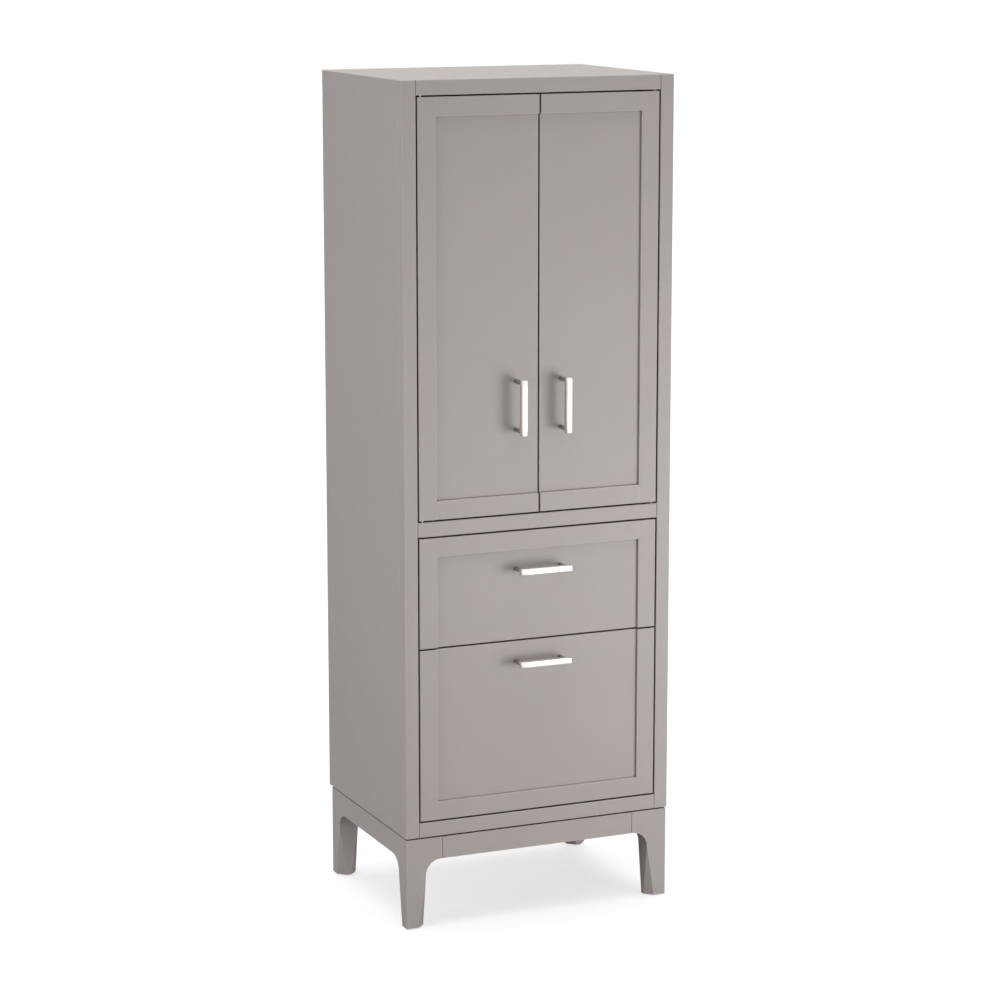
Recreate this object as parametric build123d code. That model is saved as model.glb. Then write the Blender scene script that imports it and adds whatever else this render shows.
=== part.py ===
"""Pantry cabinet: a face-framed case on a legged base, with two doors over two deep drawers.

Millimetres. +X is to the right seen from the front, the front faces -Y and +Z is up. The origin
is on the floor at the middle of the overall box. Depths are counted back from the front plane.
"""

import os

from build123d import *

# Overall size
WIDTH = 610.0
DEPTH = 457.0
HEIGHT = 1778.0
CASE_BOTTOM = 198.5
EASE = 1.2

# Case boards
BOARD = 18.0
BACK_THICK = 6.0
BACK_RABBET = 9.0
FRAME_THICK = 24.0
STILE_WIDTH = 30.5
TOP_RAIL_HEIGHT = 31.0
MIDDLE_RAIL_LOW = 841.5
MIDDLE_RAIL_TOP = 873.0
BOTTOM_RAIL_TOP = 230.5
GAP = 3.0

# Shelves
SHELF_LEVELS = (1164.0, 1452.0)
SHELF_FRONT = 28.0
SHELF_REAR = 445.0
SHELF_SIDE_PLAY = 1.5
PIN_RADIUS = 2.5
PIN_HOLE_DEPTH = 9.0
PIN_LENGTH = 8.0
PIN_TAB_REACH = 12.0
PIN_TAB_HALF = 5.0
PIN_DEPTHS = (70.0, 405.0)
PIN_PITCH = 32.0
PIN_ROW = 16
PINS_BELOW = 3

# Doors
FRONT_THICK = 20.0
MEMBER = 40.0
PANEL_RECESS = 6.0
TONGUE = 8.0
TONGUE_THICK = 7.0
HINGE_INSET = 9.0
HINGE_DEPTH = 7.0
LEAF_LENGTH = 34.0
LEAF_WIDTH = 9.0
LEAF_THICK = 2.5
LEAF_SETBACK = 2.0
HINGE_PIN_RADIUS = 2.0
HINGE_HOLE_RADIUS = 2.1
HINGE_PIN_REACH = 8.0
HINGE_HOLE_SPARE = 2.0

# Drawers
LOWER_FRONT = (233.5, 601.5)
UPPER_FRONT = (604.5, 838.5)
LOWER_BOX = (248.5, 576.5)
UPPER_BOX = (619.5, 799.5)
BOX_BOARD = 12.0
BOX_REAR = 424.0
BOX_BOTTOM_THICK = 6.0
BOX_BOTTOM_RAISE = 10.0
BOX_GROOVE = 5.0
BOX_HALF_WIDTH = 261.5
SLIDE_START = 26.0
SLIDE_END = 426.0
SLIDE_WALL = 1.2
SLIDE_LEVELS = {"lower": 330.0, "upper": 680.0}
OUTER_REACH = 9.0
OUTER_HALF = 22.5
MIDDLE_SPAN = (3.3, 10.0)
MIDDLE_HALF = 18.0
INNER_REACH = 7.0
INNER_HALF = 13.0
CLEAT_REAR = 440.0
CLEAT_HALF = 35.0

# Door catch
CATCH_HALF_WIDTH = 32.0
CATCH_LOW = 1722.0
CATCH_SETBACK = 1.0
CATCH_REAR = 41.0
MAGNET_SPAN = (6.0, 26.0)
MAGNET_LEVELS = (1726.0, 1740.0)
MAGNET_PLAY = 1.8
STRIKE_SPAN = (8.0, 24.0)
STRIKE_LEVELS = (1727.0, 1739.0)
STRIKE_THICK = 1.2

# Pulls
BAR_FACE = 14.0
BAR_DEPTH = 12.0
BAR_EASE = 1.0
BAR_LENGTH = 118.0
BAR_STANDOFF = 39.0
SEAM_INSET = 16.0
SEAM_WIDTH = 0.9
SEAM_DEPTH = 0.4
POST_SPACING = 102.0
POST_RADIUS = 4.5
RING_RADIUS = 5.5
RING_THICK = 2.5
PULL_SCREW_RADIUS = 2.0
PULL_SCREW_BITE = 10.0
SCREW_HEAD_RADIUS = 4.5
SCREW_HEAD_THICK = 2.0
DOOR_PULL_OFFSET = 50.8
DOOR_PULL_LEVEL = 1103.0
UPPER_PULL_LEVEL = 757.0
LOWER_PULL_LEVEL = 558.0

# Base
BASE_TOP = 196.0
BASE_INSET = 1.5
BASE_REAR_INSET = 12.0
LEG = 44.0
LEG_ARM = 82.0
LEG_BOTTOM = 2.0
KNEE_RADIUS = 34.0
APRON_HEIGHT = 48.0
APRON_THICK = 20.0
TAPER = 17.0
GLIDE_RADIUS = 11.0
GLIDE_SHIFT = 1.0
CUTTER_WIDTH = 400.0
CUTTER_THICK = 60.0
NEAR = 0.01

# Wall fixing
HANGING_RAIL_LOW = 1680.0
WALL_HOLE_RADIUS = 3.0
WALL_HOLE_SPACING = 406.0
WALL_HOLE_LEVEL = 1722.0

FRONT_Y = BAR_STANDOFF - (DEPTH + BAR_STANDOFF) / 2
HALF = WIDTH / 2
OPENING = HALF - STILE_WIDTH
DOOR_EDGE = OPENING - GAP
INSIDE = HALF - BOARD
TOP_RAIL_LOW = HEIGHT - TOP_RAIL_HEIGHT
DOOR_LOW = MIDDLE_RAIL_TOP + GAP
DOOR_TOP = TOP_RAIL_LOW - GAP
KNEE_LEVEL = BASE_TOP - APRON_HEIGHT - KNEE_RADIUS


def block(x0, x1, d0, d1, z0, z1):
    """Box between two x, two depths behind the front plane and two heights."""
    size = Box(x1 - x0, d1 - d0, z1 - z0)
    return Pos((x0 + x1) / 2, FRONT_Y + (d0 + d1) / 2, (z0 + z1) / 2) * size


def rod(x, d, z, radius, length, axis="z"):
    """Round bar centred on a point, along x, y or z."""
    turns = {"x": Rot(0, 90, 0), "y": Rot(90, 0, 0), "z": Rot(0, 0, 0)}
    return Pos(x, FRONT_Y + d, z) * turns[axis] * Cylinder(radius, length)


def flip(shape):
    """The same piece for the other side of the cabinet."""
    return mirror(shape, about=Plane.YZ)


def side_of(shape, side):
    """Right-hand pieces are drawn; the left one is the mirror image."""
    return flip(shape) if side == "left" else shape


def face_edges(shape, axis, end, *sides):
    """The named sides of the face that lies furthest along an axis."""
    face = shape.faces().sort_by(axis)[end]
    order = {
        "left": (Axis.X, 0),
        "right": (Axis.X, -1),
        "front": (Axis.Y, 0),
        "rear": (Axis.Y, -1),
        "bottom": (Axis.Z, 0),
        "top": (Axis.Z, -1),
    }
    return [face.edges().sort_by(order[side][0])[order[side][1]] for side in sides]


def ease_face(shape, axis, end, *sides):
    """Chamfer the named sides of one outermost face."""
    return chamfer(face_edges(shape, axis, end, *sides), EASE)


def ease_front(shape, *sides):
    """Chamfer sides of the front face."""
    return ease_face(shape, Axis.Y, 0, *sides)


def pin_levels():
    """Heights of the shelf-pin holes in each row."""
    return [SHELF_LEVELS[0] - PIN_RADIUS + (step - PINS_BELOW) * PIN_PITCH for step in range(PIN_ROW)]


def side_panel(side):
    panel = block(INSIDE, HALF, FRAME_THICK, DEPTH, CASE_BOTTOM, HEIGHT)
    panel -= block(INSIDE, INSIDE + BACK_RABBET, DEPTH - BACK_THICK, DEPTH, CASE_BOTTOM, HEIGHT)
    panel = ease_face(panel, Axis.X, -1, "front", "rear", "bottom", "top")
    holes = [
        rod(INSIDE + PIN_HOLE_DEPTH / 2, depth, level, PIN_RADIUS, PIN_HOLE_DEPTH, "x")
        for depth in PIN_DEPTHS
        for level in pin_levels()
    ]
    return side_of(panel - holes, side)


def inner_board(low):
    """Horizontal board between the side panels, behind the face frame."""
    return block(-INSIDE, INSIDE, FRAME_THICK, DEPTH - BACK_THICK, low, low + BOARD)


def top_panel():
    return inner_board(HEIGHT - BOARD)


def bottom_panel():
    return inner_board(BASE_TOP)


def middle_deck():
    return inner_board(MIDDLE_RAIL_TOP - BOARD)


def wall_holes(d0, d1):
    middle = (d0 + d1) / 2
    holes = [
        rod(x, middle, WALL_HOLE_LEVEL, WALL_HOLE_RADIUS, d1 - d0, "y")
        for x in (-WALL_HOLE_SPACING / 2, WALL_HOLE_SPACING / 2)
    ]
    return holes[0] + holes[1]


def back_panel():
    reach = INSIDE + BACK_RABBET
    panel = block(-reach, reach, DEPTH - BACK_THICK, DEPTH, CASE_BOTTOM, HEIGHT)
    return panel - wall_holes(DEPTH - BACK_THICK, DEPTH)


def hanging_rail():
    rear = DEPTH - BACK_THICK
    rail = block(-INSIDE, INSIDE, rear - BOARD, rear, HANGING_RAIL_LOW, HEIGHT - BOARD)
    return rail - wall_holes(rear - BOARD, rear)


def frame_stile(side):
    stile = block(OPENING, HALF, 0, FRAME_THICK, CASE_BOTTOM, HEIGHT)
    edges = face_edges(stile, Axis.Y, 0, "left", "right", "bottom", "top")
    edges += face_edges(stile, Axis.X, -1, "rear", "bottom", "top")
    return side_of(chamfer(edges, EASE), side)


def frame_rail(low, top):
    rail = block(-OPENING, OPENING, 0, FRAME_THICK, low, top)
    return ease_front(rail, "left", "right", "bottom", "top")


def hinge_plate_pocket(low):
    """Room for the two case-side hinge plates of one rail."""
    plates = [hinge_plate(side, low, low + LEAF_THICK) for side in ("left", "right")]
    return plates[0] + plates[1]


def top_rail():
    return frame_rail(TOP_RAIL_LOW, HEIGHT) - hinge_plate_pocket(TOP_RAIL_LOW)


def middle_rail():
    rail = frame_rail(MIDDLE_RAIL_LOW, MIDDLE_RAIL_TOP)
    return rail - hinge_plate_pocket(MIDDLE_RAIL_TOP - LEAF_THICK)


def bottom_rail():
    return frame_rail(CASE_BOTTOM, BOTTOM_RAIL_TOP)


def shelf(level):
    reach = INSIDE - SHELF_SIDE_PLAY
    board = block(-reach, reach, SHELF_FRONT, SHELF_REAR, level, level + BOARD)
    return ease_front(board, "top", "bottom")


def shelf_pin(x_side, depth, level):
    """Peg in the side panel with a flat tab under the shelf."""
    peg = rod(INSIDE + PIN_LENGTH / 2, depth, level - PIN_RADIUS, PIN_RADIUS, PIN_LENGTH, "x")
    low = level - 2 * PIN_RADIUS
    tab = block(INSIDE - PIN_TAB_REACH, INSIDE, depth - PIN_TAB_HALF, depth + PIN_TAB_HALF, low, level)
    return side_of(peg + tab, x_side)


def shelf_pins():
    return [
        shelf_pin(side, depth, level)
        for side in ("left", "right")
        for depth in PIN_DEPTHS
        for level in SHELF_LEVELS
    ]


def slide_cleats():
    """Wooden packers that bring the drawer slides out level with the stiles."""
    cleats = [
        block(OPENING, INSIDE, FRAME_THICK, CLEAT_REAR, level - CLEAT_HALF, level + CLEAT_HALF)
        for level in SLIDE_LEVELS.values()
    ]
    return [side_of(cleat, side) for cleat in cleats for side in ("left", "right")]


def channel(x_web, x_lip, half_height, level):
    """C-section with its web at one x and its lips reaching to another."""
    low, high = min(x_web, x_lip), max(x_web, x_lip)
    hollow_low = low + SLIDE_WALL if x_web < x_lip else low
    hollow_high = high if x_web < x_lip else high - SLIDE_WALL
    room = half_height - SLIDE_WALL
    outside = block(low, high, SLIDE_START, SLIDE_END, level - half_height, level + half_height)
    return outside - block(hollow_low, hollow_high, SLIDE_START, SLIDE_END, level - room, level + room)


def slide_members(x_web, x_lip, half_height, levels):
    """One channel on each side at each level."""
    return [
        side_of(channel(x_web, x_lip, half_height, level), side)
        for level in levels
        for side in ("left", "right")
    ]


def slide_outers():
    return slide_members(OPENING, OPENING - OUTER_REACH, OUTER_HALF, SLIDE_LEVELS.values())


def slide_middles(which):
    near, far = MIDDLE_SPAN
    return slide_members(OPENING - near, OPENING - far, MIDDLE_HALF, [SLIDE_LEVELS[which]])


def slide_inners(which):
    reach = BOX_HALF_WIDTH + INNER_REACH
    return slide_members(BOX_HALF_WIDTH, reach, INNER_HALF, [SLIDE_LEVELS[which]])


def magnetic_catches():
    """One housing under the top panel with a magnet facing each door."""
    front = FRAME_THICK + CATCH_SETBACK
    wide = CATCH_HALF_WIDTH
    housing = block(-wide, wide, front, CATCH_REAR, CATCH_LOW, HEIGHT - BOARD)
    magnet = block(*MAGNET_SPAN, FRONT_THICK + MAGNET_PLAY, front, *MAGNET_LEVELS)
    return [housing, flip(magnet), magnet]


def hinge_plate(side, low, top):
    """Flat plate footprint shared by the case plates and the door leaves."""
    half = LEAF_WIDTH / 2
    end = DOOR_EDGE - LEAF_SETBACK
    plate = block(end - LEAF_LENGTH, end, HINGE_DEPTH - half, HINGE_DEPTH + half, low, top)
    return side_of(plate, side)


def hinge_bore(side, radius, low, top):
    """Round shape on the door's turning axis."""
    shape = rod(DOOR_EDGE - HINGE_INSET, HINGE_DEPTH, (low + top) / 2, radius, top - low)
    return side_of(shape, side)


def hinge_plates():
    """Case plates let into the rails, each with the pin its door turns on."""
    plates = []
    for side in ("left", "right"):
        lower = hinge_plate(side, MIDDLE_RAIL_TOP - LEAF_THICK, MIDDLE_RAIL_TOP)
        upper = hinge_plate(side, TOP_RAIL_LOW, TOP_RAIL_LOW + LEAF_THICK)
        lower += hinge_bore(side, HINGE_PIN_RADIUS, MIDDLE_RAIL_TOP, DOOR_LOW + HINGE_PIN_REACH)
        upper += hinge_bore(side, HINGE_PIN_RADIUS, DOOR_TOP - HINGE_PIN_REACH, TOP_RAIL_LOW)
        plates += [lower, upper]
    return plates


def door_leaves(side):
    """Bushed leaves let into the top and bottom of a door."""
    lower = hinge_plate(side, DOOR_LOW, DOOR_LOW + LEAF_THICK)
    upper = hinge_plate(side, DOOR_TOP - LEAF_THICK, DOOR_TOP)
    lower -= hinge_bore(side, HINGE_HOLE_RADIUS, DOOR_LOW, DOOR_LOW + LEAF_THICK)
    upper -= hinge_bore(side, HINGE_HOLE_RADIUS, DOOR_TOP - LEAF_THICK, DOOR_TOP)
    return [lower, upper]


def tongue(x0, x1, z0, z1):
    """Thin edge of a panel, or the groove that takes it."""
    middle = PANEL_RECESS + (FRONT_THICK - PANEL_RECESS) / 2
    return block(x0, x1, middle - TONGUE_THICK / 2, middle + TONGUE_THICK / 2, z0, z1)


def door_tongues():
    low = DOOR_LOW + MEMBER - TONGUE
    top = DOOR_TOP - MEMBER + TONGUE
    return tongue(GAP / 2, DOOR_EDGE - MEMBER + TONGUE, low, top)


def door_stile(side):
    stile = block(DOOR_EDGE - MEMBER, DOOR_EDGE, 0, FRONT_THICK, DOOR_LOW, DOOR_TOP)
    stile = ease_front(stile, "right", "top", "bottom")
    stile -= door_tongues()
    for leaf in door_leaves("right"):
        stile -= leaf
    hole = HINGE_PIN_REACH + HINGE_HOLE_SPARE
    stile -= hinge_bore("right", HINGE_HOLE_RADIUS, DOOR_LOW, DOOR_LOW + hole)
    stile -= hinge_bore("right", HINGE_HOLE_RADIUS, DOOR_TOP - hole, DOOR_TOP)
    return side_of(stile, side)


def door_rail(side, low, outer):
    rail = block(GAP / 2, DOOR_EDGE - MEMBER, 0, FRONT_THICK, low, low + MEMBER)
    rail = ease_front(rail, "left", outer)
    return side_of(rail - door_tongues(), side)


def door_panel(side):
    panel = block(
        GAP / 2, DOOR_EDGE - MEMBER, PANEL_RECESS, FRONT_THICK, DOOR_LOW + MEMBER, DOOR_TOP - MEMBER
    )
    panel = ease_front(panel, "left") + door_tongues()
    panel -= pull_screw_bores(DOOR_PULL_OFFSET, DOOR_PULL_LEVEL, PANEL_RECESS, FRONT_THICK, True)
    return side_of(panel, side)


def post_points(x, level, upright):
    """Where the two posts of a pull stand."""
    half = POST_SPACING / 2
    if upright:
        return [(x, level - half), (x, level + half)]
    return [(x - half, level), (x + half, level)]


def pull_screw_bores(x, level, d0, d1, upright):
    bores = [
        rod(px, (d0 + d1) / 2, pz, PULL_SCREW_RADIUS, d1 - d0, "y")
        for px, pz in post_points(x, level, upright)
    ]
    return bores[0] + bores[1]


def pull_bar():
    """Square-edged bar with a fine seam near each end, drawn along X."""
    bar = fillet(Box(BAR_LENGTH, BAR_DEPTH, BAR_FACE).edges(), BAR_EASE)
    band = Box(SEAM_WIDTH, BAR_DEPTH, BAR_FACE)
    core = Box(SEAM_WIDTH, BAR_DEPTH - 2 * SEAM_DEPTH, BAR_FACE - 2 * SEAM_DEPTH)
    seam_at = BAR_LENGTH / 2 - SEAM_INSET
    for at in (-seam_at, seam_at):
        bar -= Pos(at, 0, 0) * (band - core)
    return bar


def pull(x, level, upright):
    """Bar on two round posts, each with a ring against the bar, standing on the recessed panel."""
    turn = Rot(0, 90, 0) if upright else Rot(0, 0, 0)
    shape = Pos(x, FRONT_Y - BAR_STANDOFF + BAR_DEPTH / 2, level) * turn * pull_bar()
    bar_back = BAR_DEPTH - BAR_STANDOFF
    length = PANEL_RECESS - bar_back
    for px, pz in post_points(x, level, upright):
        shape += rod(px, bar_back + length / 2, pz, POST_RADIUS, length, "y")
        shape += rod(px, bar_back + RING_THICK / 2, pz, RING_RADIUS, RING_THICK, "y")
    return shape - pull_screw_bores(x, level, PANEL_RECESS - PULL_SCREW_BITE, PANEL_RECESS, upright)


def pull_screws(x, level, rear, upright):
    """Two screws from the back of the front, with flat round heads."""
    start = PANEL_RECESS - PULL_SCREW_BITE
    head_at = rear + SCREW_HEAD_THICK / 2
    screws = []
    for px, pz in post_points(x, level, upright):
        shank = rod(px, (start + rear) / 2, pz, PULL_SCREW_RADIUS, rear - start, "y")
        screws.append(shank + rod(px, head_at, pz, SCREW_HEAD_RADIUS, SCREW_HEAD_THICK, "y"))
    return screws


def door_fittings(side):
    """Strike plate for the catch, and the pull's two screws."""
    strike = block(*STRIKE_SPAN, FRONT_THICK, FRONT_THICK + STRIKE_THICK, *STRIKE_LEVELS)
    pieces = [strike, *pull_screws(DOOR_PULL_OFFSET, DOOR_PULL_LEVEL, FRONT_THICK, True)]
    return [side_of(piece, side) for piece in pieces]


def drawer_tongues(low, top, rail_on_top):
    """Panel tongues let into both stiles and into the single rail."""
    reach = DOOR_EDGE - MEMBER + TONGUE
    if rail_on_top:
        return tongue(-reach, reach, low, top - MEMBER + TONGUE)
    return tongue(-reach, reach, low + MEMBER - TONGUE, top)


def drawer_stiles(low, top, rail_on_top):
    stile = block(DOOR_EDGE - MEMBER, DOOR_EDGE, 0, FRONT_THICK, low, top)
    stile = ease_front(stile, "right", "top", "bottom") - drawer_tongues(low, top, rail_on_top)
    return [stile, flip(stile)]


def drawer_rail(low, top, rail_on_top):
    reach = DOOR_EDGE - MEMBER
    rail_low = top - MEMBER if rail_on_top else low
    rail = block(-reach, reach, 0, FRONT_THICK, rail_low, rail_low + MEMBER)
    rail = ease_front(rail, "top" if rail_on_top else "bottom")
    return rail - drawer_tongues(low, top, rail_on_top)


def drawer_panel(low, top, rail_on_top, pull_level):
    reach = DOOR_EDGE - MEMBER
    panel_low = low if rail_on_top else low + MEMBER
    panel_top = top - MEMBER if rail_on_top else top
    panel = block(-reach, reach, PANEL_RECESS, FRONT_THICK, panel_low, panel_top)
    panel = ease_front(panel, "bottom" if rail_on_top else "top")
    panel += drawer_tongues(low, top, rail_on_top)
    return panel - pull_screw_bores(0, pull_level, PANEL_RECESS, FRONT_THICK, False)


def drawer_base(low):
    reach = BOX_HALF_WIDTH - BOX_BOARD + BOX_GROOVE
    front = FRONT_THICK + BOX_BOARD - BOX_GROOVE
    rear = BOX_REAR - BOX_BOARD + BOX_GROOVE
    bottom = low + BOX_BOTTOM_RAISE
    return block(-reach, reach, front, rear, bottom, bottom + BOX_BOTTOM_THICK)


def drawer_walls(low, top, pull_level):
    """Two sides, then the front and the rear between them."""
    groove = drawer_base(low)
    inner = BOX_HALF_WIDTH - BOX_BOARD
    wall = block(inner, BOX_HALF_WIDTH, FRONT_THICK, BOX_REAR, low, top) - groove
    front = block(-inner, inner, FRONT_THICK, FRONT_THICK + BOX_BOARD, low, top) - groove
    front -= pull_screw_bores(0, pull_level, FRONT_THICK, FRONT_THICK + BOX_BOARD, False)
    rear = block(-inner, inner, BOX_REAR - BOX_BOARD, BOX_REAR, low, top) - groove
    return [wall, flip(wall), front, rear]


def taper_cut(corner_a, corner_b, apex):
    """Everything outside the slanted plane through three points of a leg's post."""
    plane = Plane(Face(Wire.make_polygon([corner_a, corner_b, apex], close=True)))
    middle = Vector(LEG / 2, LEG / 2, 0)
    if (middle - plane.origin).dot(plane.z_dir) > 0:
        plane = Plane(origin=plane.origin, x_dir=plane.x_dir, z_dir=-plane.z_dir)
    middle_low = (Align.CENTER, Align.CENTER, Align.MIN)
    return plane * Box(CUTTER_WIDTH, CUTTER_WIDTH, CUTTER_THICK, align=middle_low)


def leg_post():
    """Square post whose three inner edges are cut back more and more towards the foot."""
    corner = (Align.MIN, Align.MIN, Align.MIN)
    post = Pos(0, 0, LEG_BOTTOM) * Box(LEG, LEG, BASE_TOP - LEG_BOTTOM, align=corner)
    near = LEG - TAPER
    low = LEG_BOTTOM
    post -= taper_cut((near, 0, low), (LEG, TAPER, low), (LEG, 0, KNEE_LEVEL))
    post -= taper_cut((0, near, low), (TAPER, LEG, low), (0, LEG, KNEE_LEVEL))
    post -= taper_cut((LEG, near, low), (near, LEG, low), (LEG, LEG, KNEE_LEVEL))
    return post


def leg_arm():
    """Arm along +X that meets the apron, with the curved knee below it."""
    corner = (Align.MIN, Align.MIN, Align.MIN)
    arm_low = BASE_TOP - APRON_HEIGHT
    arm = Pos(LEG, 0, arm_low) * Box(LEG_ARM - LEG, LEG, APRON_HEIGHT, align=corner)
    knee = Pos(LEG, 0, KNEE_LEVEL) * Box(KNEE_RADIUS, LEG, KNEE_RADIUS, align=corner)
    scoop = Pos(LEG + KNEE_RADIUS, LEG / 2, KNEE_LEVEL) * Rot(90, 0, 0) * Cylinder(KNEE_RADIUS, LEG)
    return arm + (knee - scoop)


def edges_at(shape, x=None, y=None, z=None):
    """Edges whose middle has the given coordinates."""
    found = shape.edges()
    for axis, value in ((Axis.X, x), (Axis.Y, y), (Axis.Z, z)):
        if value is not None:
            found = found.filter_by_position(axis, value - NEAR, value + NEAR)
    return found


def leg(side, end):
    """Corner leg drawn with its outer corner at the origin, then set in its place."""
    other_arm = mirror(leg_arm(), about=Plane(origin=(0, 0, 0), z_dir=(1, -1, 0)))
    shape = leg_post() + leg_arm() + other_arm
    edges = edges_at(shape, x=0, y=0)
    edges += edges_at(shape, y=0, z=BASE_TOP) + edges_at(shape, x=0, z=BASE_TOP)
    edges += edges_at(shape, x=LEG_ARM, y=0) + edges_at(shape, x=0, y=LEG_ARM)
    shape = chamfer(edges, EASE)
    if end == "rear":
        shape = mirror(shape, about=Plane.XZ)
    depth = BASE_INSET if end == "front" else DEPTH - BASE_REAR_INSET
    placed = Pos(BASE_INSET - HALF, FRONT_Y + depth, 0) * shape
    return flip(placed) if side == "right" else placed


def apron(x0, x1, d0, d1, axis, end, *sides):
    shape = block(x0, x1, d0, d1, BASE_TOP - APRON_HEIGHT, BASE_TOP)
    return ease_face(shape, axis, end, *sides)


def apron_across(end):
    reach = HALF - BASE_INSET - LEG_ARM
    if end == "front":
        front = BASE_INSET
        return apron(-reach, reach, front, front + APRON_THICK, Axis.Y, 0, "left", "right", "top")
    rear = DEPTH - BASE_REAR_INSET
    return apron(-reach, reach, rear - APRON_THICK, rear, Axis.Y, -1, "left", "right", "top")


def apron_side(side):
    outer = HALF - BASE_INSET
    front = BASE_INSET + LEG_ARM
    rear = DEPTH - BASE_REAR_INSET - LEG_ARM
    shape = apron(outer - APRON_THICK, outer, front, rear, Axis.X, -1, "front", "rear", "top")
    return side_of(shape, side)


def leg_glides():
    """Round plastic glides under the four feet."""
    inset = BASE_INSET + LEG / 2 - GLIDE_SHIFT
    rear = DEPTH - BASE_REAR_INSET - LEG / 2 + GLIDE_SHIFT
    return [
        rod(x, depth, LEG_BOTTOM / 2, GLIDE_RADIUS, LEG_BOTTOM)
        for x in (inset - HALF, HALF - inset)
        for depth in (inset, rear)
    ]


def case_parts():
    parts = {
        "top_panel": top_panel(),
        "bottom_panel": bottom_panel(),
        "middle_deck": middle_deck(),
        "back_panel": back_panel(),
        "hanging_rail": hanging_rail(),
        "top_rail": top_rail(),
        "middle_rail": middle_rail(),
        "bottom_rail": bottom_rail(),
        "shelf_lower": shelf(SHELF_LEVELS[0]),
        "shelf_upper": shelf(SHELF_LEVELS[1]),
        "shelf_pins": shelf_pins(),
        "slide_cleats": slide_cleats(),
        "slide_outers": slide_outers(),
        "hinge_plates": hinge_plates(),
        "magnetic_catches": magnetic_catches(),
        "leg_glides": leg_glides(),
        "apron_front": apron_across("front"),
        "apron_rear": apron_across("rear"),
    }
    for side in ("left", "right"):
        parts[f"side_panel_{side}"] = side_panel(side)
        parts[f"stile_{side}"] = frame_stile(side)
        parts[f"apron_{side}"] = apron_side(side)
        for end in ("front", "rear"):
            parts[f"leg_{end}_{side}"] = leg(side, end)
    return parts


def door_parts(side):
    x = DOOR_PULL_OFFSET
    return {
        f"door_{side}_stile": door_stile(side),
        f"door_{side}_rail_top": door_rail(side, DOOR_TOP - MEMBER, "top"),
        f"door_{side}_rail_bottom": door_rail(side, DOOR_LOW, "bottom"),
        f"door_{side}_panel": door_panel(side),
        f"door_{side}_leaves": door_leaves(side),
        f"door_{side}_pull": side_of(pull(x, DOOR_PULL_LEVEL, True), side),
        f"door_{side}_fittings": door_fittings(side),
    }


def drawer_parts(which, front, box, pull_level, rail_on_top):
    low, top = front
    name = f"drawer_{which}"
    return {
        f"{name}_stiles": drawer_stiles(low, top, rail_on_top),
        f"{name}_rail": drawer_rail(low, top, rail_on_top),
        f"{name}_panel": drawer_panel(low, top, rail_on_top, pull_level),
        f"{name}_walls": drawer_walls(box[0], box[1], pull_level),
        f"{name}_base": drawer_base(box[0]),
        f"{name}_runners": slide_inners(which),
        f"{name}_pull": pull(0, pull_level, False),
        f"{name}_screws": pull_screws(0, pull_level, FRONT_THICK + BOX_BOARD, False),
        f"slide_middles_{which}": slide_middles(which),
    }


def main():
    parts = case_parts()
    for side in ("left", "right"):
        parts.update(door_parts(side))
    parts.update(drawer_parts("upper", UPPER_FRONT, UPPER_BOX, UPPER_PULL_LEVEL, True))
    parts.update(drawer_parts("lower", LOWER_FRONT, LOWER_BOX, LOWER_PULL_LEVEL, False))
    os.makedirs("parts", exist_ok=True)
    for name, shape in parts.items():
        whole = Compound(children=shape) if isinstance(shape, list) else shape
        export_step(whole, f"parts/{name}.step")


main()
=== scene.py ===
import math

import bmesh
import bpy
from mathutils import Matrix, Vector


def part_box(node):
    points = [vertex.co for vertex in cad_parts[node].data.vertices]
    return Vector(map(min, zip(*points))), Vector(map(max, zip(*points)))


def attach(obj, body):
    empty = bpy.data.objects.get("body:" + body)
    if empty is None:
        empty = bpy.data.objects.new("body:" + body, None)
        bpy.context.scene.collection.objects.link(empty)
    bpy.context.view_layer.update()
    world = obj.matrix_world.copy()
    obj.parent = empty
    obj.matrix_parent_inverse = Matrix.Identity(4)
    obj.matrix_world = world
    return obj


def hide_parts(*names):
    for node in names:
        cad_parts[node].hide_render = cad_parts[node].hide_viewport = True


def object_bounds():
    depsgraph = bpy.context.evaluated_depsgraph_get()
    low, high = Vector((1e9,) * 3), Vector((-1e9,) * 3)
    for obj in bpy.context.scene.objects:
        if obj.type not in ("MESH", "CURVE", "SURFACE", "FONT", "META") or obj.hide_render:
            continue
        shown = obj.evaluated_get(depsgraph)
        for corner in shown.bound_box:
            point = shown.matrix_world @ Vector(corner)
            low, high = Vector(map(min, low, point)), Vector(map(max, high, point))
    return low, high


# A pantry cabinet in satin greige paint: two panelled doors over two panelled drawers, in a
# face-framed case on a base with four tapered legs. Metres; the front faces -Y, +Z is up.

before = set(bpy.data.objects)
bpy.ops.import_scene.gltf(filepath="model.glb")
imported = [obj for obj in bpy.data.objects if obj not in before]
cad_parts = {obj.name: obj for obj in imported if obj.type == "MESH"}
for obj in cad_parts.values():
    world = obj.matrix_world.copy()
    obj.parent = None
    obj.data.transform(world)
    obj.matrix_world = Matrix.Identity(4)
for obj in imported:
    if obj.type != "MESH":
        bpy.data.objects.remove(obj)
cad_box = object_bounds()

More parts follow.
